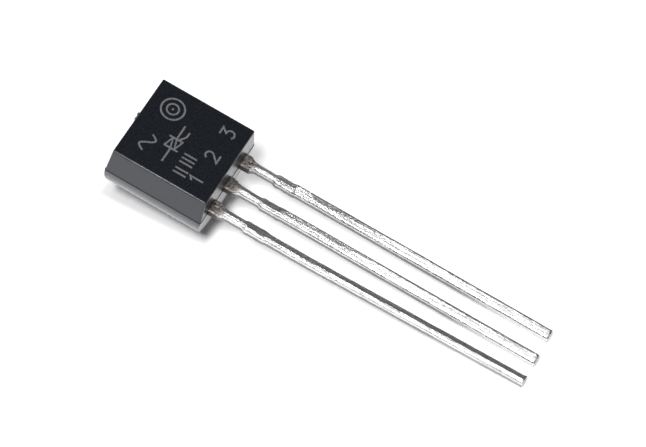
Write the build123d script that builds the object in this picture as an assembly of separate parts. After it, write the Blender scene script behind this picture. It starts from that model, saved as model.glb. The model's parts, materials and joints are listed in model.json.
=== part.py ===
"""A small triac in a three-lead moulded case, lying as it comes to rest on a table.

A flat lead frame is stamped from copper alloy strip. The chip is soldered to a flag that is one
piece with an outer lead, and two bond wires run from it to the posts of the other two leads.
Epoxy is then moulded round the lot, which leaves a D-shaped case with one flat side.

The pieces are drawn in the frame of the case and are turned into the resting frame at the end.
Case frame, in millimetres:
  X runs along the leads, from 0 at the lead end of the case, where the mould parted, to the tips
  Y runs across the leads, and rises from lead 1 to lead 3
  Z is 0 in the middle of the lead frame, which is where the mould parted, and rises to the flat
Resting frame: X runs level from the case to the lead tips, Z is up, and the origin is on the
table under the middle of the whole part's box. The flat faces up. The case touches the table
with the rounded back's edge at its lead end, and the leads touch it with their tips.
"""

import os
from math import asin, atan2, degrees, hypot, radians, tan

from build123d import *

# Case
case_length = 4.42  # along the leads, at the parting plane
case_width = 4.44  # across the leads, at the parting plane
flat_width = 4.03  # of the flat itself, which the draft of the sides leaves narrower
flat_height = 1.31  # parting plane to flat
back_depth = 2.26  # parting plane to the crown of the rounded back
flat_draft = 0.080  # how far each end leans in between the parting plane and the flat
back_draft = 0.120  # the same, down to the crown of the back
flat_rounding = 0.09
corner_rounding = 0.10
back_rounding = 0.10
seam_proud = 0.020  # flash left where the mould parted
seam_thickness = 0.045
gate_stub_size = (0.17, 0.46, 0.34)  # where the runner of the mould broke off, along X, Y and Z
gate_stub_y = 0.58
gate_stub_taper = 0.05
ejector_radius = 0.55  # a shallow round left by the pin that pushed the case out of the mould
ejector_depth = 0.09

# Leads, as they come out of the case
lead_pitch = 1.27
lead_length = 14.24  # lead end of the case to the tips
lead_width = 0.45
lead_thickness = 0.40
lead_rounding = 0.05
root_length = 0.56  # wide root, as far as the dam of the mould let the strip keep its flash
root_width = 0.59
neck_start = 0.68
neck_end = 1.46
neck_width = 0.37
tie_start = 1.62  # stub of the tie bar that held the leads together until it was cut away
tie_end = 2.44
tie_width = 0.49
bend_start = 4.3  # where lead 1 was knocked in towards lead 2
bend_angle = 1.2  # degrees

# Lead frame inside the case
post_tip = -1.62  # how far the two bond posts reach in
post_neck = -0.95
gate_post_width = 0.80
mt1_post_inner_y = -0.62
mt1_post_outer_y = -1.66
flag_near = -1.98
flag_far = -3.90
flag_low_y = -1.34
flag_high_y = 1.62
flag_notch = 0.22  # radius of the rounds cut into the flag's sides, which lock it into the epoxy

# Chip, solder and bond wires
chip_size = 1.25
chip_thickness = 0.26
chip_x = -2.90
chip_y = 0.05
moat_width = 0.05  # groove etched round the top of the chip, which bounds its junction
moat_depth = 0.06
moat_inset = 0.07
solder_margin = 0.09
solder_thickness = 0.035
gate_pad_y = 0.34  # centre of the gate pad, from the centre of the chip
gate_pad_x = 0.30
mt1_pad_y = -0.24
mt1_pad_x = 0.10
heavy_wire = 0.15
thin_wire = 0.08
heavy_loop = 0.52  # height of each wire's loop over the chip
thin_loop = 0.38
foot_length = 0.34  # flattened end of a wire, where it was pressed on
wire_post_inset = 0.30  # centre of a wire's foot on a post, from the post's tip
mt1_foot_y = -1.16
gate_foot_y = 0.10

top_of_frame = lead_thickness / 2
chip_bottom = top_of_frame + solder_thickness
chip_top = chip_bottom + chip_thickness


def plate(points, low, high):
    """A flat plate with its outline in XY, between two heights."""
    outline = make_face(Polyline(*points, close=True))
    return Pos(0, 0, low) * extrude(outline, amount=high - low, dir=(0, 0, 1))


def drafted_half(section, height, draft):
    """Half of the case: its section in YZ, cut by end faces that lean in towards the given height."""
    bar = extrude(make_face(Plane.YZ * section), amount=case_length, dir=(-1, 0, 0))
    ends = Polyline(
        (0, 0),
        (-draft, height),
        (-case_length + draft, height),
        (-case_length, 0),
        close=True,
    )
    return bar & extrude(make_face(Plane.XZ * ends), amount=case_width, both=True)


def front_half():
    """The half with the flat. Its sides lean in as well, and its corners are rounded."""
    side = case_width / 2
    top = flat_width / 2
    section = Polyline((-side, 0), (-top, flat_height), (top, flat_height), (side, 0), close=True)
    half = drafted_half(section, flat_height, flat_draft)
    corners = [e for e in half.edges() if e.bounding_box().size.Z > flat_height / 2]
    half = fillet(corners, corner_rounding)
    return fillet(half.edges().group_by(Axis.Z)[-1], flat_rounding)


def back_half():
    """The half with the rounded back and the shallow round of the ejector pin."""
    side = case_width / 2
    section = ThreePointArc((side, 0), (0, -back_depth), (-side, 0)) + Line((-side, 0), (side, 0))
    half = drafted_half(section, -back_depth, back_draft)
    ends = [e for e in half.edges() if e.bounding_box().size.Z > back_depth / 2]
    half = fillet(ends, back_rounding)
    pin = Cylinder(ejector_radius, back_depth, align=(Align.CENTER, Align.CENTER, Align.MAX))
    return half - Pos(-case_length / 2, 0, ejector_depth - back_depth) * pin


def seam():
    """The thin line of flash all round the case, where the two halves of the mould met."""
    length = case_length + 2 * seam_proud
    width = case_width + 2 * seam_proud
    slab = Pos(-case_length / 2, 0, 0) * Box(length, width, seam_thickness)
    return fillet(slab.edges().filter_by(Axis.Z), corner_rounding + seam_proud)


def gate_stub():
    """The rough stub at the far end, where the epoxy ran in and was broken off."""
    length, width, height = gate_stub_size
    root = Plane.YZ * Rectangle(width, height)
    tip = Plane.YZ * Rectangle(width - 2 * gate_stub_taper, height - 2 * gate_stub_taper)
    stub = loft([Pos(back_draft, 0, 0) * root, Pos(-length, 0, 0) * tip])
    return Pos(-case_length, gate_stub_y, 0) * stub


def case_block():
    """The whole block of epoxy, with nothing cut out of it for the pieces that it holds."""
    return front_half() + back_half() + seam() + gate_stub()


def lead_centre(x, bend):
    """How far a lead's middle has moved in Y at a given X, for a bend of so many degrees."""
    return max(x - bend_start, 0) * tan(radians(bend))


def lead_strip(y, bend=0):
    """A lead outside the case: root, neck, stub of the tie bar and plain strip, with its edges eased."""
    stations = [
        (0, root_width),
        (root_length, root_width),
        (neck_start, neck_width),
        (neck_end, neck_width),
        (tie_start, tie_width),
        (tie_end, tie_width),
        (tie_end + tie_start - neck_end, lead_width),
        (bend_start, lead_width),
        (lead_length, lead_width),
    ]
    high_edge = [(x, y + lead_centre(x, bend) + width / 2) for x, width in stations]
    low_edge = [(x, y + lead_centre(x, bend) - width / 2) for x, width in stations]
    strip = plate(high_edge + low_edge[::-1], -lead_thickness / 2, lead_thickness / 2)
    faces = strip.edges().group_by(Axis.Z)
    long_edges = [e for e in faces[0] + faces[-1] if e.bounding_box().max.X > 0.01]
    return fillet(long_edges, lead_rounding)


def inner_plate(points):
    """A piece of the lead frame inside the case, from its outline."""
    return plate(points, -lead_thickness / 2, lead_thickness / 2)


def mt1_lead():
    """Lead 1: it ends in a wide post for the heavy bond wire, and is knocked in a little."""
    y = -lead_pitch
    half = root_width / 2
    shoulder = (post_neck + post_tip) / 2
    post = inner_plate(
        [
            (0, y - half),
            (post_neck, y - half),
            (shoulder, mt1_post_outer_y),
            (post_tip, mt1_post_outer_y),
            (post_tip, mt1_post_inner_y),
            (shoulder, mt1_post_inner_y),
            (post_neck, y + half),
            (0, y + half),
        ]
    )
    return post + lead_strip(y, bend_angle)


def gate_lead():
    """Lead 2, in the middle: it ends in a T-shaped post for the thin bond wire."""
    half = root_width / 2
    head = gate_post_width / 2
    shoulder = (post_neck + post_tip) / 2
    post = inner_plate(
        [
            (0, -half),
            (post_neck, -half),
            (shoulder, -head),
            (post_tip, -head),
            (post_tip, head),
            (shoulder, head),
            (post_neck, half),
            (0, half),
        ]
    )
    return post + lead_strip(0)


def mt2_lead():
    """Lead 3: its stem passes the gate post and widens into the flag that carries the chip."""
    y = lead_pitch
    half = root_width / 2
    flag = inner_plate(
        [
            (0, y - half),
            (flag_near, y - half),
            (flag_near, flag_low_y),
            (flag_far, flag_low_y),
            (flag_far, flag_high_y),
            (flag_near, flag_high_y),
            (post_tip, y + half),
            (0, y + half),
        ]
    )
    middle = (flag_near + flag_far) / 2
    for side_y in (flag_low_y, flag_high_y):
        flag -= Pos(middle, side_y, 0) * Cylinder(flag_notch, 2 * lead_thickness)
    return flag + lead_strip(y)


def die_solder():
    """The thin layer of solder under the chip, with its edges sloping out to the flag."""
    wide = chip_size + 2 * solder_margin
    low = Pos(chip_x, chip_y, top_of_frame) * Rectangle(wide, wide)
    high = Pos(chip_x, chip_y, chip_bottom) * Rectangle(chip_size, chip_size)
    return loft([low, high])


def triac_chip():
    """The silicon chip, with the moat that bounds its junction etched round its top."""
    chip = Box(chip_size, chip_size, chip_thickness, align=(Align.CENTER, Align.CENTER, Align.MIN))
    outer = chip_size - 2 * moat_inset
    inner = outer - 2 * moat_width
    moat = extrude(Rectangle(outer, outer) - Rectangle(inner, inner), amount=moat_depth)
    return Pos(chip_x, chip_y, chip_bottom) * (chip - Pos(0, 0, chip_thickness - moat_depth) * moat)


def bond_wire(start, end, diameter, loop):
    """A bond wire between two points on its seats, with a flattened foot on each and a loop between."""
    (x0, y0, z0), (x1, y1, z1) = start, end
    span = hypot(x1 - x0, y1 - y0)
    lift = 0.6 * diameter  # middle of the wire over its seat, where it enters a foot
    run_up = span / 4
    path = FilletPolyline(
        (0, z0 + lift),
        (foot_length / 2, z0 + lift),
        (foot_length / 2 + run_up, z0 + loop),
        (span - foot_length / 2 - run_up / 2, z0 + loop * 3 / 4),
        (span - foot_length / 2, z1 + lift),
        (span, z1 + lift),
        radius=1.5 * diameter,
    )
    path = Plane.XZ * path
    wire = sweep(Plane(origin=path @ 0, z_dir=path % 0) * Circle(diameter / 2), path=path)
    foot = Box(
        foot_length,
        1.5 * diameter,
        diameter / 2,
        align=(Align.CENTER, Align.CENTER, Align.MIN),
    )
    wire = wire + Pos(0, 0, z0) * foot + Pos(span, 0, z1) * foot
    turn = degrees(atan2(y1 - y0, x1 - x0))
    return Pos(x0, y0, 0) * Rot(0, 0, turn) * wire


def mt1_wire():
    """The heavy wire, from the chip to the post of lead 1."""
    pad = (chip_x + mt1_pad_x, chip_y + mt1_pad_y, chip_top)
    post = (post_tip + wire_post_inset, mt1_foot_y, top_of_frame)
    return bond_wire(pad, post, heavy_wire, heavy_loop)


def gate_wire():
    """The thin wire, from the chip to the post of lead 2."""
    pad = (chip_x + gate_pad_x, chip_y + gate_pad_y, chip_top)
    post = (post_tip + wire_post_inset, gate_foot_y, top_of_frame)
    return bond_wire(pad, post, thin_wire, thin_loop)


def rest_tilt():
    """Degrees that the part tips, tips down, when the case's back edge and the tips touch the table."""
    edge_z = back_rounding - back_depth  # centre of the rounded edge at the lead end of the back
    edge_x = back_draft * edge_z / back_depth - back_rounding * hypot(1, back_draft / back_depth)
    across = lead_length - edge_x
    up = -edge_z - lead_thickness / 2
    return degrees(atan2(up, across) + asin(back_rounding / hypot(across, up)))


def build():
    """Every piece by name, in the resting frame."""
    held = {
        "mt1_lead": mt1_lead(),
        "gate_lead": gate_lead(),
        "mt2_lead": mt2_lead(),
        "die_solder": die_solder(),
        "triac_chip": triac_chip(),
        "mt1_wire": mt1_wire(),
        "gate_wire": gate_wire(),
    }
    case = case_block()
    for piece in held.values():
        case -= piece
    pieces = {"moulded_case": case, **held}
    turn = Rot(0, rest_tilt(), 0)
    box = Compound([turn * p for p in pieces.values()]).bounding_box()
    place = Pos(-box.center().X, -box.center().Y, -box.min.Z) * turn
    return {name: place * piece for name, piece in pieces.items()}


if __name__ == "__main__":
    os.makedirs("parts", exist_ok=True)
    for name, piece in build().items():
        export_step(piece, f"parts/{name}.step")
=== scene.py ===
"""The look of a small triac: a black moulded case with one flat marked side, and three tinned leads."""

import json
import math

import bmesh
import bpy
from mathutils import Matrix, Vector, noise


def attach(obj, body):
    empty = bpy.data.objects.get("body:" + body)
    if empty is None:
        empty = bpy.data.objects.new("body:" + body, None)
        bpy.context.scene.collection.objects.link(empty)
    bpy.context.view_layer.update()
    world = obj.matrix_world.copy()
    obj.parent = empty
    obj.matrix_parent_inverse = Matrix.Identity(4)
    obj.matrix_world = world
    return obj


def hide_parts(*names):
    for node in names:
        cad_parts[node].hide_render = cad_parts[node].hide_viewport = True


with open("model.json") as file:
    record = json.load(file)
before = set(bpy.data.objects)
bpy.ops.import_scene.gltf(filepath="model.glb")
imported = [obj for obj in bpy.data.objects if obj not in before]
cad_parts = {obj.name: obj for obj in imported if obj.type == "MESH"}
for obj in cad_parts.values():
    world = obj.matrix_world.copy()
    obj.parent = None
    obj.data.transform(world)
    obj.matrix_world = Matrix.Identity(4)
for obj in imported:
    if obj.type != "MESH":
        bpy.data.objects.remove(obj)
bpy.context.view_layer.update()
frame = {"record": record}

# ---------------------------------------------------------------------------------------------
# How the part lies. The case rests on the edge of its rounded back and the leads on their tips,
# so the whole part slopes down a little towards the tips. Every piece is drawn level, along its
# leads, in millimetres, and is then seated on that slope. The flat side and the row of leads,
# which a board or a heat sink would meet, say where the slope and the case are.

MM = 0.001
CASE_LENGTH = 4.42
FLAT_HEIGHT = 1.31  # from the middle of the lead frame, where the mould parted, up to the flat

mounts = {mount["name"]: mount for mount in frame["record"]["mounts"]}
along_leads = Vector(mounts["lead_row"]["axis"]).normalized()
out_of_flat = Vector(mounts["flat_front"]["axis"]).normalized()
across_leads = out_of_flat.cross(along_leads)
slope = Matrix((along_leads, across_leads, out_of_flat)).transposed()
flat_middle = Vector((-CASE_LENGTH / 2, 0, FLAT_HEIGHT)) * MM
lead_end_of_case = Vector(mounts["flat_front"]["pos_m"]) - slope @ flat_middle
seating = Matrix.Translation(lead_end_of_case) @ slope.to_4x4() @ Matrix.Scale(MM, 4)


def seated(name, mesh, *materials):
    """Puts a piece drawn level in millimetres where it lies, and notes the drawn place of each point."""
    drawn = mesh.attributes.new("drawn", "FLOAT_VECTOR", "POINT")
    for point, vertex in zip(drawn.data, mesh.vertices):
        point.vector = vertex.co
    mesh.transform(seating)
    mesh.name = name
    for material in materials:
        mesh.materials.append(material)
    piece = bpy.data.objects.new(name, mesh)
    bpy.context.scene.collection.objects.link(piece)
    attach(piece, "root")
    return piece


def mesh_of(bm):
    """Turns a finished bmesh into a mesh, with its normals facing out."""
    bmesh.ops.recalc_face_normals(bm, faces=bm.faces)
    mesh = bpy.data.meshes.new("drawn")
    bm.to_mesh(mesh)
    bm.free()
    return mesh


def combined(first, *others, operation="UNION"):
    """Moulds meshes into one skin, or cuts the others out of the first."""
    shapes = []
    for mesh in (first, *others):
        shape = bpy.data.objects.new("shape", mesh)
        bpy.context.scene.collection.objects.link(shape)
        shapes.append(shape)
    for other in shapes[1:]:
        cut = shapes[0].modifiers.new("combine", "BOOLEAN")
        cut.solver = "EXACT"
        cut.operation = operation
        cut.object = other
    result = bpy.data.meshes.new_from_object(
        shapes[0].evaluated_get(bpy.context.evaluated_depsgraph_get())
    )
    for shape in shapes:
        mesh = shape.data
        bpy.data.objects.remove(shape)
        bpy.data.meshes.remove(mesh)
    return result


# ---------------------------------------------------------------------------------------------
# The moulded case: black epoxy with fine glass sand in it, formed in a two-part steel mould round
# the lead frame. The mould's spark-eroded walls leave it satin. The flat half has drafted sides,
# the other half is round, and a hairline of flash runs all round between them.

CASE_WIDTH = 4.44
FLAT_WIDTH = 4.03
BACK_DEPTH = 2.26
FLAT_DRAFT = 0.080
BACK_DRAFT = 0.120
EDGE_ROUNDING = 0.075
BACK_ROUNDING = 0.09
SEAM_PROUD = 0.016
SEAM_THICKNESS = 0.040
EJECTOR_RADIUS = 0.55
EJECTOR_DEPTH = 0.09
STUB_Y = 0.58
STUB_SIZE = (0.17, 0.46, 0.34)
ROUND_STEPS = 72  # along the round of the back


def loft_between(near, far):
    """A closed solid between two outlines with the same number of points."""
    bm = bmesh.new()
    near = [bm.verts.new(p) for p in near]
    far = [bm.verts.new(p) for p in far]
    bm.faces.new(near)
    bm.faces.new(far[::-1])
    count = len(near)
    for i in range(count):
        j = (i + 1) % count
        bm.faces.new((near[j], near[i], far[i], far[j]))
    return bm


def case_half(section, height, draft):
    """One half of the case from its section in Y and Z, with ends that lean in towards a height."""
    near = [(-draft * z / height, y, z) for y, z in section]
    far = [(-CASE_LENGTH + draft * z / height, y, z) for y, z in section]
    return loft_between(near, far)


def rounded(bm, wanted, radius):
    """Rounds the edges that the test picks."""
    edges = [e for e in bm.edges if wanted(e.verts[0].co, e.verts[1].co)]
    bmesh.ops.bevel(
        bm,
        geom=edges,
        offset=radius,
        offset_type="OFFSET",
        segments=5,
        profile=0.5,
        affect="EDGES",
        clamp_overlap=True,
    )


def flat_half():
    """The half that carries the flat. Its top edges and its four upright corners are rounded."""
    side = CASE_WIDTH / 2
    top = FLAT_WIDTH / 2
    section = [(-side, 0), (side, 0), (top, FLAT_HEIGHT), (-top, FLAT_HEIGHT)]
    bm = case_half(section, FLAT_HEIGHT, FLAT_DRAFT)
    rounded(bm, lambda a, b: max(a.z, b.z) > FLAT_HEIGHT - 0.001, EDGE_ROUNDING)
    return mesh_of(bm)


def round_half():
    """The half with the rounded back."""
    side = CASE_WIDTH / 2
    section = [(side, 0), (-side, 0)]
    for step in range(1, ROUND_STEPS):
        turn = math.pi * step / ROUND_STEPS
        section.append((-side * math.cos(turn), -BACK_DEPTH * math.sin(turn)))
    bm = case_half(section, -BACK_DEPTH, BACK_DRAFT)
    rounded(bm, lambda a, b: abs(a.x - b.x) < 0.1 and min(a.z, b.z) < -0.001, BACK_ROUNDING)
    return mesh_of(bm)


def seam_ring():
    """The hairline of flash where the mould parted."""
    length = CASE_LENGTH / 2 + SEAM_PROUD
    width = CASE_WIDTH / 2 + SEAM_PROUD
    corner = EDGE_ROUNDING + SEAM_PROUD
    outline = []
    for sx, sy, start in ((1, 1, 0), (-1, 1, 90), (-1, -1, 180), (1, -1, 270)):
        for step in range(6):
            turn = math.radians(start + 18 * step)
            x = sx * (length - corner) + corner * math.cos(turn) - CASE_LENGTH / 2
            outline.append((x, sy * (width - corner) + corner * math.sin(turn)))
    half = SEAM_THICKNESS / 2
    low = [(x, y, -half) for x, y in outline]
    high = [(x, y, half) for x, y in outline]
    return mesh_of(loft_between(high, low))


def gate_stub():
    """The rough stub where the epoxy ran into the mould and was snapped off."""
    length, width, height = STUB_SIZE
    bm = bmesh.new()
    across, up = 9, 7
    rings = ((0.12, 1.0, 0), (-0.6 * length, 0.92, 0), (-length, 0.74, 1))
    grid = []
    for x, share, rough in rings:
        row = []
        for i in range(across):
            for j in range(up):
                y = (i / (across - 1) - 0.5) * width * share
                z = (j / (up - 1) - 0.5) * height * share
                dip = 0.05 * noise.noise(Vector((7 * y, 9 * z, 2.5))) * rough
                row.append(bm.verts.new((x - CASE_LENGTH + dip, STUB_Y + y, z)))
        grid.append(row)
    for row in (grid[0], grid[-1]):
        for i in range(across - 1):
            for j in range(up - 1):
                k = i * up + j
                bm.faces.new((row[k], row[k + 1], row[k + up + 1], row[k + up]))
    rim = [i * up for i in range(across)]
    rim += [(across - 1) * up + j for j in range(1, up)]
    rim += [i * up + up - 1 for i in range(across - 2, -1, -1)]
    rim += [j for j in range(up - 2, 0, -1)]
    for low, high in zip(grid, grid[1:]):
        for a, b in zip(rim, rim[1:] + rim[:1]):
            bm.faces.new((low[a], low[b], high[b], high[a]))
    for v in set(grid[1]) - {grid[1][k] for k in rim}:
        bm.verts.remove(v)
    return mesh_of(bm)


def ejector_pin():
    """The round pin that pushed the case out, which leaves a shallow flat in the back."""
    bm = bmesh.new()
    bmesh.ops.create_cone(
        bm,
        cap_ends=True,
        segments=64,
        radius1=EJECTOR_RADIUS,
        radius2=EJECTOR_RADIUS,
        depth=1,
        matrix=Matrix.Translation((-CASE_LENGTH / 2, 0, EJECTOR_DEPTH - BACK_DEPTH - 0.5)),
    )
    return mesh_of(bm)


def grain_group():
    """Fine grain for any finish here: a value between 0 and 1, and a normal with the grain raised."""
    group = bpy.data.node_groups.new("fine_grain", "ShaderNodeTree")
    for name, kind in (("Place", "Vector"), ("Scale", "Float"), ("Detail", "Float"), ("Depth", "Float")):
        group.interface.new_socket(name, in_out="INPUT", socket_type="NodeSocket" + kind)
    for name, kind in (("Grain", "Float"), ("Normal", "Vector")):
        group.interface.new_socket(name, in_out="OUTPUT", socket_type="NodeSocket" + kind)
    nodes, links = group.nodes, group.links
    given, result = nodes.new("NodeGroupInput"), nodes.new("NodeGroupOutput")
    speckle = nodes.new("ShaderNodeTexNoise")
    speckle.inputs["Roughness"].default_value = 0.6
    links.new(given.outputs["Place"], speckle.inputs["Vector"])
    links.new(given.outputs["Scale"], speckle.inputs["Scale"])
    links.new(given.outputs["Detail"], speckle.inputs["Detail"])
    spread = nodes.new("ShaderNodeMapRange")
    spread.inputs["From Min"].default_value = 0.28
    spread.inputs["From Max"].default_value = 0.72
    links.new(speckle.outputs["Fac"], spread.inputs["Value"])
    raised = nodes.new("ShaderNodeBump")
    raised.inputs["Strength"].default_value = 1.0
    links.new(given.outputs["Depth"], raised.inputs["Distance"])
    links.new(speckle.outputs["Fac"], raised.inputs["Height"])
    links.new(spread.outputs["Result"], result.inputs["Grain"])
    links.new(raised.outputs["Normal"], result.inputs["Normal"])
    return group


fine_grain = grain_group()


def finish(name, metallic, roughness):
    """A new material with its shader and the drawn place of each point, in millimetres."""
    material = bpy.data.materials.new(name)
    material.use_nodes = True
    shader = material.node_tree.nodes["Principled BSDF"]
    shader.inputs["Metallic"].default_value = metallic
    shader.inputs["Roughness"].default_value = roughness
    place = material.node_tree.nodes.new("ShaderNodeAttribute")
    place.attribute_name = "drawn"
    return material, shader, place.outputs["Vector"]


def grained(material, place, scale, detail, depth):
    """Places the fine grain in a material. The scale is per millimetre and the depth in millimetres."""
    grain = material.node_tree.nodes.new("ShaderNodeGroup")
    grain.node_tree = fine_grain
    grain.inputs["Scale"].default_value = scale
    grain.inputs["Detail"].default_value = detail
    grain.inputs["Depth"].default_value = depth * MM
    material.node_tree.links.new(place, grain.inputs["Place"])
    return grain


def toned(material, value, *stops):
    """Colours a value between 0 and 1 by stops of place and colour."""
    ramp = material.node_tree.nodes.new("ShaderNodeValToRGB")
    elements = ramp.color_ramp.elements
    for element, (place, colour) in zip(elements, (stops[0], stops[-1])):
        element.position = place
        element.color = (*colour, 1)
    for place, colour in stops[1:-1]:
        elements.new(place).color = (*colour, 1)
    material.node_tree.links.new(value, ramp.inputs["Fac"])
    return ramp.outputs["Color"]


def ranged(material, value, low, high, to_low, to_high):
    """Carries a value smoothly from one range to another, held at the ends."""
    node = material.node_tree.nodes.new("ShaderNodeMapRange")
    node.interpolation_type = "SMOOTHSTEP"
    for name, number in (("From Min", low), ("From Max", high), ("To Min", to_low), ("To Max", to_high)):
        node.inputs[name].default_value = number
    material.node_tree.links.new(value, node.inputs["Value"])
    return node.outputs["Result"]


def reckoned(material, operation, first, second, third=None):
    """One step of arithmetic on sockets or numbers."""
    node = material.node_tree.nodes.new("ShaderNodeMath")
    node.operation = operation
    for socket, given in zip(node.inputs, (first, second, third)):
        if isinstance(given, (int, float)):
            socket.default_value = given
        elif given is not None:
            material.node_tree.links.new(given, socket)
    return node.outputs["Value"]


def mixed(material, share, first, second):
    """Mixes two colours by a share."""
    node = material.node_tree.nodes.new("ShaderNodeMix")
    node.data_type = "RGBA"
    material.node_tree.links.new(share, node.inputs["Factor"])
    first_colour, second_colour, mixed_colour = node.inputs[6], node.inputs[7], node.outputs[2]
    for socket, given in ((first_colour, first), (second_colour, second)):
        if isinstance(given, tuple):
            socket.default_value = (*given, 1)
        else:
            material.node_tree.links.new(given, socket)
    return mixed_colour


def epoxy():
    """Satin black moulding compound, with a fine sandy grain and a patchy painted highlight along the long
    edges of the flat.
    """
    material, shader, place = finish("moulded_epoxy", 0, 0.3)
    links = material.node_tree.links
    shader.inputs["IOR"].default_value = 1.5
    shader.inputs["Specular Tint"].default_value = (0.90, 0.96, 1.0, 1)
    sand = grained(material, place, 21, 5, 0.003)
    dark, light = (0.0025, 0.0038, 0.0065), (0.0068, 0.0084, 0.0125)
    body = toned(material, sand.outputs["Grain"], (0.2, dark), (0.8, light))
    edge_highlight = material.node_tree.nodes.new("ShaderNodeAttribute")
    edge_highlight.attribute_name = "edge_highlight"
    patches = grained(material, place, 3.2, 4, 0)
    painted_highlight = reckoned(material, "MULTIPLY", edge_highlight.outputs["Fac"], patches.outputs["Grain"])
    # painted highlight: near the long edges of the flat the colour turns pale grey in patches, standing in
    # for light caught on the rounded edge
    colour = mixed(material, painted_highlight, body, (0.30, 0.30, 0.32))
    links.new(colour, shader.inputs["Base Color"])
    links.new(ranged(material, sand.outputs["Grain"], 0, 1, 0.24, 0.40), shader.inputs["Roughness"])
    links.new(sand.outputs["Normal"], shader.inputs["Normal"])
    return material


def paint_edge_highlight(mesh):
    """Notes how near each point is to the long edges of the flat, where a highlight is painted into the
    epoxy's colour.
    """
    edge_highlight = mesh.attributes.new("edge_highlight", "FLOAT", "POINT")
    for value, vertex in zip(edge_highlight.data, mesh.vertices):
        x, y, z = vertex.co
        from_edge = math.hypot(abs(y) - FLAT_WIDTH / 2, z - FLAT_HEIGHT)
        value.value = max(1 - from_edge / 0.055, 0)


case_mesh = combined(
    combined(flat_half(), round_half(), seam_ring(), gate_stub()),
    ejector_pin(),
    operation="DIFFERENCE",
)
paint_edge_highlight(case_mesh)
case = seated("case", case_mesh, epoxy())
case_mesh.shade_smooth()
case_mesh.set_sharp_from_angle(angle=math.radians(32))
flatten = case.modifiers.new("flat faces stay flat", "WEIGHTED_NORMAL")
flatten.keep_sharp = True
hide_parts("moulded_case")

# ---------------------------------------------------------------------------------------------
# The marks: burnt into the flat by a laser, which turns the black epoxy grey and a little frosty.
# A ring marks the far corner, then come the wave of alternating current, the sign for a triac,
# a row of plain bars and the numbers of the leads.

STROKE = 0.078
MARK_PROUD = 0.003
MARK_SUNK = 0.010


def burnt_line(points, closed=False):
    """A thin ribbon along points on the flat, given in X and Y."""
    count = len(points)
    spots = [Vector(point) for point in points]
    bm = bmesh.new()
    rings = []
    for k, spot in enumerate(spots):
        ahead = spots[(k + 1) % count] - spot if closed or k < count - 1 else spot - spots[k - 1]
        behind = spot - spots[k - 1] if closed or k > 0 else ahead
        along_line = (ahead.normalized() + behind.normalized()).normalized()
        mitre = STROKE / 2 / max(along_line.dot(ahead.normalized()), 0.4)
        aside = Vector((-along_line.y, along_line.x)) * mitre
        ring = []
        for sign, z in ((1, MARK_PROUD), (1, -MARK_SUNK), (-1, -MARK_SUNK), (-1, MARK_PROUD)):
            edge = spot + aside * sign
            ring.append(bm.verts.new((edge.x, edge.y, FLAT_HEIGHT + z)))
        rings.append(ring)
    pairs = zip(rings, rings[1:] + rings[:1]) if closed else zip(rings, rings[1:])
    for near, far in pairs:
        for a in range(4):
            b = (a + 1) % 4
            bm.faces.new((near[a], near[b], far[b], far[a]))
    if not closed:
        bm.faces.new(rings[0])
        bm.faces.new(rings[-1][::-1])
    return mesh_of(bm)


def arc(x, y, radius, start, end, steps):
    """Points along an arc on the flat, from one angle to another in degrees."""
    turns = [math.radians(start + (end - start) * step / steps) for step in range(steps + 1)]
    return [(x + radius * math.cos(turn), y + radius * math.sin(turn)) for turn in turns]


RING_X, RING_Y = -3.31, 0.99
WAVE_X, WAVE_Y = -3.40, -0.89
WAVE_SWING, WAVE_SPAN = 0.26, 0.84
SIGN_X, SIGN_Y = -2.50, -0.36
SIGN_HALF = 0.32  # half the width of the sign's two plates
PLATE_GAP = 0.24  # from the middle of the sign to each plate
ARROW_REACH = 0.22  # from the middle of the sign to an arrow's point
SIGN_WIRE_END = 0.95
BARS_X = -1.63
BAR_PLACES = (-1.42, -1.22, -0.90, -0.70, -0.50)
NUMBERS_X = -0.93
HALF_HEIGHT = 0.29  # of the bars and the numbers

ring_marks = [
    burnt_line(arc(RING_X, RING_Y, 0.49, 0, 350, 35), closed=True),
    burnt_line(arc(RING_X, RING_Y, 0.25, 0, 345, 23), closed=True),
    burnt_line([(RING_X, RING_Y - 0.05), (RING_X, RING_Y + 0.05)]),
]
wave = [
    (WAVE_X - WAVE_SWING * math.sin(math.tau * step / 24), WAVE_Y + WAVE_SPAN * (step / 24 - 0.5))
    for step in range(25)
]
wave_marks = [burnt_line(wave)]


def on_sign(*points):
    """A line of the triac's sign, from points counted from its middle."""
    return burnt_line([(SIGN_X + x, SIGN_Y + y) for x, y in points])


sign_marks = [
    on_sign((-SIGN_HALF, -PLATE_GAP), (SIGN_HALF, -PLATE_GAP)),
    on_sign((-SIGN_HALF, PLATE_GAP), (SIGN_HALF, PLATE_GAP)),
    on_sign((-0.28, -ARROW_REACH), (-0.15, ARROW_REACH), (-0.02, -ARROW_REACH)),
    on_sign((0.02, ARROW_REACH), (0.15, -ARROW_REACH), (0.28, ARROW_REACH)),
    on_sign((0, -SIGN_WIRE_END), (0, -PLATE_GAP)),
    on_sign((0, PLATE_GAP), (0, SIGN_WIRE_END)),
    on_sign((0.10, PLATE_GAP), (0.30, 0.55), (0.30, 0.78)),
]
bar_marks = [burnt_line([(BARS_X - HALF_HEIGHT, y), (BARS_X + HALF_HEIGHT, y)]) for y in BAR_PLACES]


def number_1(y):
    """The number 1, with its top away from the leads."""
    top, foot = NUMBERS_X - HALF_HEIGHT, NUMBERS_X + HALF_HEIGHT
    return [(NUMBERS_X - 0.16, y - 0.13), (top, y + 0.03), (foot, y + 0.03)]


def number_2(y):
    """The number 2."""
    bow = arc(NUMBERS_X - 0.12, y, 0.17, 250, 40, 12)
    return bow + [(NUMBERS_X + HALF_HEIGHT, y - 0.18), (NUMBERS_X + HALF_HEIGHT, y + 0.19)]


def number_3(y):
    """The number 3, with a flat top."""
    bow = arc(NUMBERS_X + 0.11, y, 0.18, 190, -50, 14)
    top = NUMBERS_X - HALF_HEIGHT
    return [(top, y - 0.17), (top, y + 0.17), (NUMBERS_X - 0.07, y - 0.02), *bow[2:]]


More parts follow.
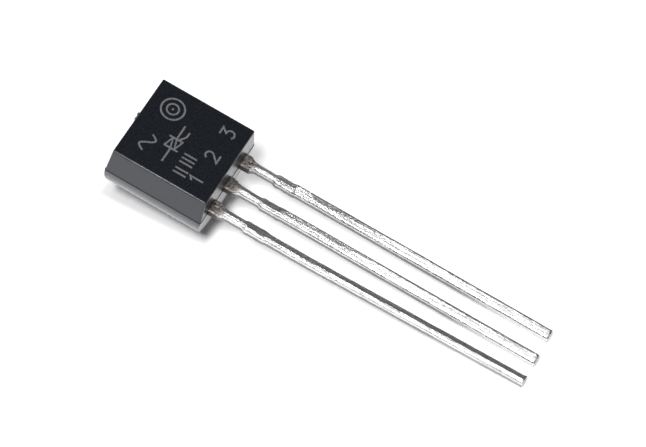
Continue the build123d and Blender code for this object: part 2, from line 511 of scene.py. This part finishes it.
def laser_mark():
    """Epoxy greyed by the laser: matt, frosty and a little uneven."""
    material, shader, place = finish("laser_mark", 0, 0.75)
    speck = grained(material, place, 22, 4, 0.003)
    tone = toned(material, speck.outputs["Grain"], (0.1, (0.075, 0.078, 0.082)), (0.9, (0.24, 0.245, 0.25)))
    material.node_tree.links.new(tone, shader.inputs["Base Color"])
    material.node_tree.links.new(speck.outputs["Normal"], shader.inputs["Normal"])
    return material


number_marks = [burnt_line(line) for line in (number_1(-1.27), number_2(0), number_3(1.27))]
frosted = laser_mark()
for name, lines in (
    ("mark_ring", ring_marks),
    ("mark_wave", wave_marks),
    ("mark_triac_sign", sign_marks),
    ("mark_bars", bar_marks),
    ("mark_lead_numbers", number_marks),
):
    mark = seated(name, combined(*lines), frosted)

# ---------------------------------------------------------------------------------------------
# The three leads: strips stamped from copper alloy, joined at first by a tie bar that was cut away
# after moulding, then dipped in tin. The dip left them lumpy, with a ridge along the top, and did
# not quite reach the case, so the roots stay dull. Inside the case they end in posts and a flag.

LEAD_PITCH = 1.27
LEAD_THICKNESS = 0.40
ROOT_WIDTH = 0.59
LOW_EDGE = (  # distance from the case, and half the width of the strip there, on the lead 1 side
    (0, 0.295),
    (0.40, 0.295),
    (0.64, 0.185),
    (1.46, 0.185),
    (1.62, 0.245),
    (2.44, 0.245),
    (2.60, 0.225),
    (15, 0.225),
)
HIGH_EDGE = ((0, 0.295), (0.22, 0.295), (0.42, 0.200), *LOW_EDGE[3:])
STUB_ENDS = (1.68, 2.36)  # where the cutter left a burr at each end of the tie bar's stub
BEND_START = 4.3
BEND_ANGLE = 1.2
INSIDE = -0.06  # the strips are drawn from a little inside the case
LOW_SLOPE = 0.25  # how the solder rises to its ridge on the lead 1 side
STUB_SLOPE = 0.22  # how it falls on the lead 3 side, from the case to the end of the tie bar's stub
STUB_SLOPE_END = 2.5
POST_TIP = -1.62
POST_NECK = -0.95
FLAG_NEAR = -1.98
FLAG_FAR = -3.90
FLAG_LOW_Y = -1.34
FLAG_HIGH_Y = 1.62
FLAG_NOTCH = 0.22


def eased(x, low, high):
    """Rises smoothly from 0 to 1 between two places."""
    share = min(max((x - low) / (high - low), 0), 1)
    return share * share * (3 - 2 * share)


def along(table, x):
    """Reads a smooth value between the places listed along a lead."""
    for (x0, value0), (x1, value1) in zip(table, table[1:]):
        if x <= x1:
            return value0 + (value1 - value0) * eased(x, x0, x1)
    return table[-1][1]


def rounding_drop(side, edge, corner):
    """How far a rounded corner falls below the corner of a square strip."""
    into = max(abs(side) - (edge - corner), 0)
    return corner - math.sqrt(max(corner * corner - into * into, 0))


def strip_section(low, high, ridge, low_slope, high_slope, corner):
    """Points round a strip whose top rises to a ridge: over the top, down, back under and up."""
    half = LEAD_THICKNESS / 2
    turns = [math.sin(math.radians(angle)) for angle in (90, 72, 54, 36, 18, 0)]
    shares = (0.85, 0.6, 0.35, 0.15, 0.05)
    right = [high - corner + corner * turn for turn in turns]
    left = [-(low - corner + corner * turn) for turn in reversed(turns)]
    over = right + [ridge + (right[-1] - ridge) * share for share in shares]
    over += [ridge] + [ridge + (left[0] - ridge) * share for share in reversed(shares)] + left
    points = []
    for side in over:
        fall = high_slope * (side - ridge) if side > ridge else low_slope * (ridge - side)
        roof = half + 0.45 * low_slope * (low + ridge) - fall
        points.append((side, roof - rounding_drop(side, high if side > 0 else low, corner)))
    under = left[::-1] + [left[0] * 0.5, 0.0, right[-1] * 0.5] + right[::-1]
    foot = [(side, -half + rounding_drop(side, high if side > 0 else low, corner)) for side in under]
    for side, top, bottom in ((-low, points[-1][1], foot[0][1]), (high, foot[-1][1], points[0][1])):
        wall = [(side, top + (bottom - top) * step / 5) for step in range(1, 5)]
        if side < 0:
            points += wall + foot
        else:
            points += wall
    return points


def dipped_strip(y, bend, length, ridges, high_slope, seed):
    """A tinned strip from just inside the case to its cut tip."""
    bm = bmesh.new()
    rings = [INSIDE + 0.03 * step for step in range(110)]
    steps = round((length - rings[-1]) / 0.05)
    start = rings[-1]
    rings += [start + (length - start) * step / steps for step in range(1, steps + 1)]
    loops = []
    for x in rings:
        tinned = eased(x, 0.30, 0.75)
        whole = tinned * eased(x, length, length - 0.07)  # fades the dip's shapes out at the cut tip
        burr = sum(math.exp(-(((x - end) / 0.07) ** 2)) for end in STUB_ENDS)
        on_stub = eased(x, 1.45, 1.62) * eased(x, 2.60, 2.44)
        swell = 0.007 * noise.noise(Vector((x * 0.9, seed, 0.3))) + 0.014 * burr
        low = along(LOW_EDGE, x) + whole * swell
        high = along(HIGH_EDGE, x) + whole * swell
        wander = 0.02 * noise.noise(Vector((x * 2.1, seed, 5.1)))
        ridge = min(max(low * along(ridges, x) + wander, 0.12 - low), high - 0.115)
        steep = STUB_SLOPE if x < STUB_SLOPE_END else high_slope
        slopes = (LOW_SLOPE * whole, (steep + (high_slope - steep) * eased(x, 2.3, 2.6)) * whole)
        centre = y + max(x - BEND_START, 0) * math.tan(math.radians(bend))
        loop = []
        for side, up in strip_section(low, high, ridge, *slopes, 0.03 + 0.05 * whole):
            broad = noise.noise(Vector((x * 1.5 + seed, side * 4, up * 4)))
            fine = noise.noise(Vector((x * 7 + seed, side * 12, up * 12)))
            lump = (0.006 + 0.008 * on_stub) * broad + (0.0035 + 0.006 * on_stub) * fine
            out = Vector((0, side, up)).normalized() * lump * whole
            loop.append(bm.verts.new((x, centre + side + out.y, up + out.z)))
        if loops:
            before = loops[-1]
            for k in range(len(loop)):
                j = (k + 1) % len(loop)
                bm.faces.new((before[k], before[j], loop[j], loop[k]))
        loops.append(loop)
    bm.faces.new(loops[0])
    bm.faces.new(loops[-1][::-1]).material_index = 1
    return mesh_of(bm)


def frame_plate(outline):
    """A flat piece of the lead frame from its outline."""
    half = LEAD_THICKNESS / 2
    high = [(x, y, half) for x, y in outline]
    low = [(x, y, -half) for x, y in outline]
    return mesh_of(loft_between(high, low))


def post_plate(y, low_y, high_y):
    """The post of an outer or middle lead inside the case, from its stem to its wide head."""
    stem = ROOT_WIDTH / 2
    shoulder = (POST_NECK + POST_TIP) / 2
    return frame_plate(
        [
            (0, y - stem),
            (POST_NECK, y - stem),
            (shoulder, low_y),
            (POST_TIP, low_y),
            (POST_TIP, high_y),
            (shoulder, high_y),
            (POST_NECK, y + stem),
            (0, y + stem),
        ]
    )


def flag_plate():
    """The stem and flag of lead 3. A round is cut into each side of the flag to lock it in the epoxy."""
    stem = ROOT_WIDTH / 2
    middle = (FLAG_NEAR + FLAG_FAR) / 2
    rounds = [math.radians(180 * step / 12) for step in range(13)]
    low_notch = [
        (middle + FLAG_NOTCH * math.cos(turn), FLAG_LOW_Y + FLAG_NOTCH * math.sin(turn)) for turn in rounds
    ]
    high_notch = [
        (middle - FLAG_NOTCH * math.cos(turn), FLAG_HIGH_Y - FLAG_NOTCH * math.sin(turn)) for turn in rounds
    ]
    return frame_plate(
        [
            (0, LEAD_PITCH - stem),
            (FLAG_NEAR, LEAD_PITCH - stem),
            (FLAG_NEAR, FLAG_LOW_Y),
            *low_notch,
            (FLAG_FAR, FLAG_LOW_Y),
            (FLAG_FAR, FLAG_HIGH_Y),
            *high_notch,
            (FLAG_NEAR, FLAG_HIGH_Y),
            (POST_TIP, LEAD_PITCH + stem),
            (0, LEAD_PITCH + stem),
        ]
    )


def dipped_tin():
    """Tin as the dip left it: soft white metal with fine lines drawn along the strip, bare at the root,
    with painted shade along its lower half and on the root's lower side.
    """
    material, shader, place = finish("dipped_tin", 1, 0.25)
    nodes, links = material.node_tree.nodes, material.node_tree.links
    split = nodes.new("ShaderNodeSeparateXYZ")
    links.new(place, split.inputs["Vector"])
    grain = grained(material, place, 9, 4, 0)
    speckle = grained(material, place, 21, 3, 0)

    stretch = nodes.new("ShaderNodeVectorMath")
    stretch.operation = "MULTIPLY"
    stretch.inputs[1].default_value = (0.35, 17, 17)
    links.new(place, stretch.inputs[0])
    lines = grained(material, stretch.outputs["Vector"], 1, 2, 0)

    bright = toned(material, lines.outputs["Grain"], (0.1, (0.47, 0.465, 0.46)), (0.6, (0.68, 0.675, 0.67)))
    pitted = ranged(material, speckle.outputs["Grain"], 0.46, 0.12, 0, 0.6)
    bright = mixed(material, pitted, bright, (0.17, 0.165, 0.16))
    # painted shade: the underside of the strip and the lower half of its edges are darkened, standing in
    # for the shaded floor they reflect, less so towards the tip
    wander = reckoned(material, "MULTIPLY_ADD", grain.outputs["Grain"], 0.05, split.outputs["Z"])
    painted_underside_shade = ranged(material, wander, 0.095, 0.035, 0, 1)
    underside_shade_reach = ranged(material, split.outputs["X"], 9.5, 12.5, 1, 0.3)
    # on lead 1 the painted shade underneath stays strong all the way to its tip
    underside_shade_reach = reckoned(material, "MAXIMUM", underside_shade_reach, ranged(material, split.outputs["Y"], -0.8, -1.0, 0, 0.85))
    painted_underside_shade = reckoned(material, "MULTIPLY", painted_underside_shade, underside_shade_reach)
    tin_colour = mixed(material, painted_underside_shade, bright, (0.155, 0.15, 0.15))
    # next to the case the strip is bare
    reach = reckoned(material, "MULTIPLY_ADD", grain.outputs["Grain"], 0.34, split.outputs["X"])
    bare = ranged(material, reach, 0.78, 0.48, 0, 1)
    dull = toned(material, grain.outputs["Grain"], (0.15, (0.13, 0.115, 0.105)), (0.8, (0.60, 0.53, 0.48)))
    # painted shade: lower down, the bare root turns near black, standing in for the shade of the case
    # reflected in its side
    side = ranged(material, split.outputs["Z"], 0.17, 0.09, 0, 1)
    dull = mixed(material, side, dull, (0.030, 0.025, 0.023))
    links.new(mixed(material, bare, tin_colour, dull), shader.inputs["Base Color"])
    links.new(ranged(material, grain.outputs["Grain"], 0, 1, 0.26, 0.42), shader.inputs["Roughness"])

    rough_part = ranged(material, split.outputs["X"], 2.6, 9.0, 1, 0.35)
    pits = reckoned(material, "MULTIPLY_ADD", speckle.outputs["Grain"], 0.5, grain.outputs["Grain"])
    pits = reckoned(material, "MULTIPLY", pits, rough_part)
    height = reckoned(material, "MULTIPLY_ADD", lines.outputs["Grain"], 0.45, pits)
    bump = nodes.new("ShaderNodeBump")
    bump.inputs["Strength"].default_value = 1.0
    bump.inputs["Distance"].default_value = 0.012 * MM
    links.new(height, bump.inputs["Height"])
    links.new(bump.outputs["Normal"], shader.inputs["Normal"])
    return material


def sheared_copper():
    """The bare, torn face where a lead was cut to length."""
    material, shader, place = finish("sheared_copper", 1, 0.45)
    tears = grained(material, place, 11, 3, 0.02)
    tone = toned(material, tears.outputs["Grain"], (0.1, (0.10, 0.09, 0.085)), (0.9, (0.48, 0.44, 0.41)))
    material.node_tree.links.new(tone, shader.inputs["Base Color"])
    material.node_tree.links.new(tears.outputs["Normal"], shader.inputs["Normal"])
    return material


tin = dipped_tin()
cut_face = sheared_copper()
# how far over the ridge lies along each lead, as a share of half the width
RIDGES_1 = ((0.5, 0.05), (1.5, -0.1), (1.7, -0.35), (2.3, -0.35), (2.7, -0.28), (14, -0.22))
RIDGES_2 = (
    *((0.5, 0.0), (1.5, -0.1), (1.7, -0.35), (2.3, -0.3)),
    *((2.6, -0.1), (4.6, 0.0), (7.3, 0.6), (14, 0.6)),
)
RIDGES_3 = (
    *((0.5, -0.1), (2.35, -0.2), (2.5, 0.6), (3.0, 0.5)),
    *((3.3, 0.0), (5, 0.05), (7.3, 0.6), (14, 0.6)),
)
leads = (  # node, Y, bend, length, how the ridge wanders and falls, post or flag inside the case
    ("mt1_lead", -LEAD_PITCH, BEND_ANGLE, 14.20, RIDGES_1, 0.32, post_plate(-LEAD_PITCH, -1.66, -0.62)),
    ("gate_lead", 0, 0, 14.19, RIDGES_2, -0.07, post_plate(0, -0.40, 0.40)),
    ("mt2_lead", LEAD_PITCH, 0, 14.13, RIDGES_3, -0.07, flag_plate()),
)
for order, (node, y, bend, length, ridges, high_slope, inner) in enumerate(leads):
    mesh = combined(dipped_strip(y, bend, length, ridges, high_slope, 10.0 * order + 3), inner)
    lead = seated("tinned_" + node, mesh, tin, cut_face)
    mesh.shade_smooth()
    mesh.set_sharp_from_angle(angle=math.radians(40))
    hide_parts(node)

# ---------------------------------------------------------------------------------------------
# The chip on its bed of solder, and the two wires that join it to the posts. All four are sealed
# in the case. The chip is polished silicon, the solder froze with a grainy skin, and the wires are
# drawn aluminium.


def sealed_in(node, name, metallic, roughness, scale, depth, dark, light):
    """Gives a sealed piece its own finish, grained by its place."""
    material, shader, _ = finish(name, metallic, roughness)
    nodes, links = material.node_tree.nodes, material.node_tree.links
    spot = nodes.new("ShaderNodeTexCoord")
    millimetres = nodes.new("ShaderNodeVectorMath")
    millimetres.operation = "SCALE"
    millimetres.inputs["Scale"].default_value = 1 / MM
    links.new(spot.outputs["Object"], millimetres.inputs[0])
    grain = grained(material, millimetres.outputs["Vector"], scale, 3, depth)
    tone = toned(material, grain.outputs["Grain"], (0.1, dark), (0.9, light))
    links.new(tone, shader.inputs["Base Color"])
    links.new(
        ranged(material, grain.outputs["Grain"], 0, 1, roughness - 0.06, roughness + 0.1),
        shader.inputs["Roughness"],
    )
    links.new(grain.outputs["Normal"], shader.inputs["Normal"])
    piece = bpy.data.objects[node]
    piece.data.materials.clear()
    piece.data.materials.append(material)


sealed_in("triac_chip", "silicon", 0, 0.18, 2.2, 0.0, (0.055, 0.06, 0.085), (0.11, 0.12, 0.15))
sealed_in("die_solder", "frozen_solder", 1, 0.38, 9, 0.012, (0.36, 0.36, 0.37), (0.62, 0.62, 0.62))
for wire in ("mt1_wire", "gate_wire"):
    sealed_in(wire, "drawn_" + wire, 1, 0.30, 16, 0.004, (0.66, 0.66, 0.67), (0.86, 0.86, 0.87))

# ---------------------------------------------------------------------------------------------
# Floor, light and camera. The part lies on a sheet of white acrylic. A round soft box leans in from
# the side of lead 1, a wider and weaker one hangs nearly overhead, and the room round them is dim.

CAMERA_AZIMUTH = 24.75  # degrees round the part, from the side of lead 1
CAMERA_ELEVATION = 57.15
CAMERA_ROLL = 4.55
CAMERA_DISTANCE = 159.04 * MM
CAMERA_TARGET = Vector((-0.638, 0.400, 2.0)) * MM
CAMERA_LENS = 222.9

camera = bpy.data.objects.new("camera", bpy.data.cameras.new("camera"))
bpy.context.scene.collection.objects.link(camera)
bpy.context.scene.camera = camera
azimuth, elevation = math.radians(CAMERA_AZIMUTH), math.radians(CAMERA_ELEVATION)
back = Vector(
    (
        math.sin(azimuth) * math.cos(elevation),
        -math.cos(azimuth) * math.cos(elevation),
        math.sin(elevation),
    )
)
roll = Matrix.Rotation(math.radians(CAMERA_ROLL), 3, "Z")
aim = (-back).to_track_quat("-Z", "Y").to_matrix() @ roll
camera.matrix_world = Matrix.Translation(CAMERA_TARGET + back * CAMERA_DISTANCE) @ aim.to_4x4()
camera.data.lens = CAMERA_LENS
camera.data.sensor_width = 36
camera.data.clip_start = 0.005
camera.data.clip_end = 20

FLOOR_REACH = 2.0
SEEN_LIFT = 0.4  # how much the sheet glows to the camera
MIRRORED_LIFT = 0.95  # and in reflections
SHADE_HALF = (0.0023, 0.00125)  # half the patch under the case that keeps its full shadow
SHADE_MIDDLE = (-2.50, -0.3, 0)  # in the drawn millimetres
SHADE_FADE = 0.0004

floor_mesh = bpy.data.meshes.new("floor")
corners = [(sx * FLOOR_REACH, sy * FLOOR_REACH, 0) for sx, sy in ((-1, -1), (1, -1), (1, 1), (-1, 1))]
floor_mesh.from_pydata(corners, [], [(0, 1, 2, 3)])
floor = bpy.data.objects.new("floor", floor_mesh)
bpy.context.scene.collection.objects.link(floor)


def white_sheet():
    """White acrylic that glows a little to the eye and in reflections, so faint shadows wash out."""
    material = bpy.data.materials.new("white_sheet")
    material.use_nodes = True
    nodes, links = material.node_tree.nodes, material.node_tree.links
    shader = nodes["Principled BSDF"]
    shader.inputs["Base Color"].default_value = (0.97, 0.965, 0.97, 1)
    shader.inputs["Roughness"].default_value = 0.9
    shader.inputs["Specular IOR Level"].default_value = 0.0
    shader.inputs["Emission Color"].default_value = (1, 0.99, 1, 1)

    spot = nodes.new("ShaderNodeTexCoord")
    apart = nodes.new("ShaderNodeVectorMath")
    apart.operation = "SUBTRACT"
    under_case = seating @ Vector(SHADE_MIDDLE)
    apart.inputs[1].default_value = (under_case.x, under_case.y, 0)
    links.new(spot.outputs["Object"], apart.inputs[0])
    either_side = nodes.new("ShaderNodeVectorMath")
    either_side.operation = "ABSOLUTE"
    links.new(apart.outputs["Vector"], either_side.inputs[0])
    past = nodes.new("ShaderNodeVectorMath")
    past.operation = "SUBTRACT"
    past.inputs[1].default_value = (*SHADE_HALF, 0)
    links.new(either_side.outputs["Vector"], past.inputs[0])
    outside = nodes.new("ShaderNodeVectorMath")
    outside.operation = "MAXIMUM"
    links.new(past.outputs["Vector"], outside.inputs[0])
    distance = nodes.new("ShaderNodeVectorMath")
    distance.operation = "LENGTH"
    links.new(outside.outputs["Vector"], distance.inputs[0])
    glow = nodes.new("ShaderNodeMapRange")
    glow.interpolation_type = "SMOOTHSTEP"
    glow.inputs["From Max"].default_value = SHADE_FADE
    glow.inputs["To Min"].default_value = 0.0
    glow.inputs["To Max"].default_value = SEEN_LIFT
    links.new(distance.outputs["Value"], glow.inputs["Value"])

    ray = nodes.new("ShaderNodeLightPath")
    seen = nodes.new("ShaderNodeMath")
    seen.operation = "MULTIPLY"
    links.new(glow.outputs["Result"], seen.inputs[0])
    links.new(ray.outputs["Is Camera Ray"], seen.inputs[1])
    mirrored = nodes.new("ShaderNodeMath")
    mirrored.operation = "MAXIMUM"
    links.new(ray.outputs["Is Glossy Ray"], mirrored.inputs[0])
    links.new(ray.outputs["Is Transmission Ray"], mirrored.inputs[1])
    total = nodes.new("ShaderNodeMath")
    total.operation = "MULTIPLY_ADD"
    total.inputs[1].default_value = MIRRORED_LIFT
    links.new(mirrored.outputs["Value"], total.inputs[0])
    links.new(seen.outputs["Value"], total.inputs[2])
    links.new(total.outputs["Value"], shader.inputs["Emission Strength"])
    return material


floor_mesh.materials.append(white_sheet())

LAMP_DISTANCE = 0.40


def soft_box(name, lean, width, power):
    """A round soft light that faces the part, leaning from straight above towards the side of lead 1."""
    lamp = bpy.data.objects.new(name, bpy.data.lights.new(name, "AREA"))
    bpy.context.scene.collection.objects.link(lamp)
    toward = Vector((0, -math.sin(math.radians(lean)), math.cos(math.radians(lean))))
    lamp.location = toward * LAMP_DISTANCE
    lamp.rotation_mode = "QUATERNION"
    lamp.rotation_quaternion = (-toward).to_track_quat("-Z", "Y")
    lamp.data.shape = "DISK"
    lamp.data.size = width
    lamp.data.energy = power


soft_box("key", 25, 0.10, 1.22)
soft_box("overhead", 3, 0.20, 0.18)


def dim_room():
    """A room that is pale at the height of the sheet, dark above it and a little lighter overhead."""
    world = bpy.data.worlds.new("room")
    world.use_nodes = True
    nodes, links = world.node_tree.nodes, world.node_tree.links
    direction = nodes.new("ShaderNodeTexCoord")
    height = nodes.new("ShaderNodeSeparateXYZ")
    links.new(direction.outputs["Generated"], height.inputs["Vector"])
    room = nodes.new("ShaderNodeValToRGB")
    room.color_ramp.elements[0].color = (0.9, 0.9, 0.9, 1)
    room.color_ramp.elements[1].color = (0.135, 0.145, 0.16, 1)
    for place, level in ((0.09, 0.85), (0.20, 0.10), (0.52, 0.11), (0.78, 0.145)):
        room.color_ramp.elements.new(place).color = (level, level, level, 1)
    links.new(height.outputs["Z"], room.inputs["Fac"])
    links.new(room.outputs["Color"], nodes["Background"].inputs["Color"])
    return world


bpy.context.scene.world = dim_room()

bpy.context.scene.view_settings.view_transform = "Standard"
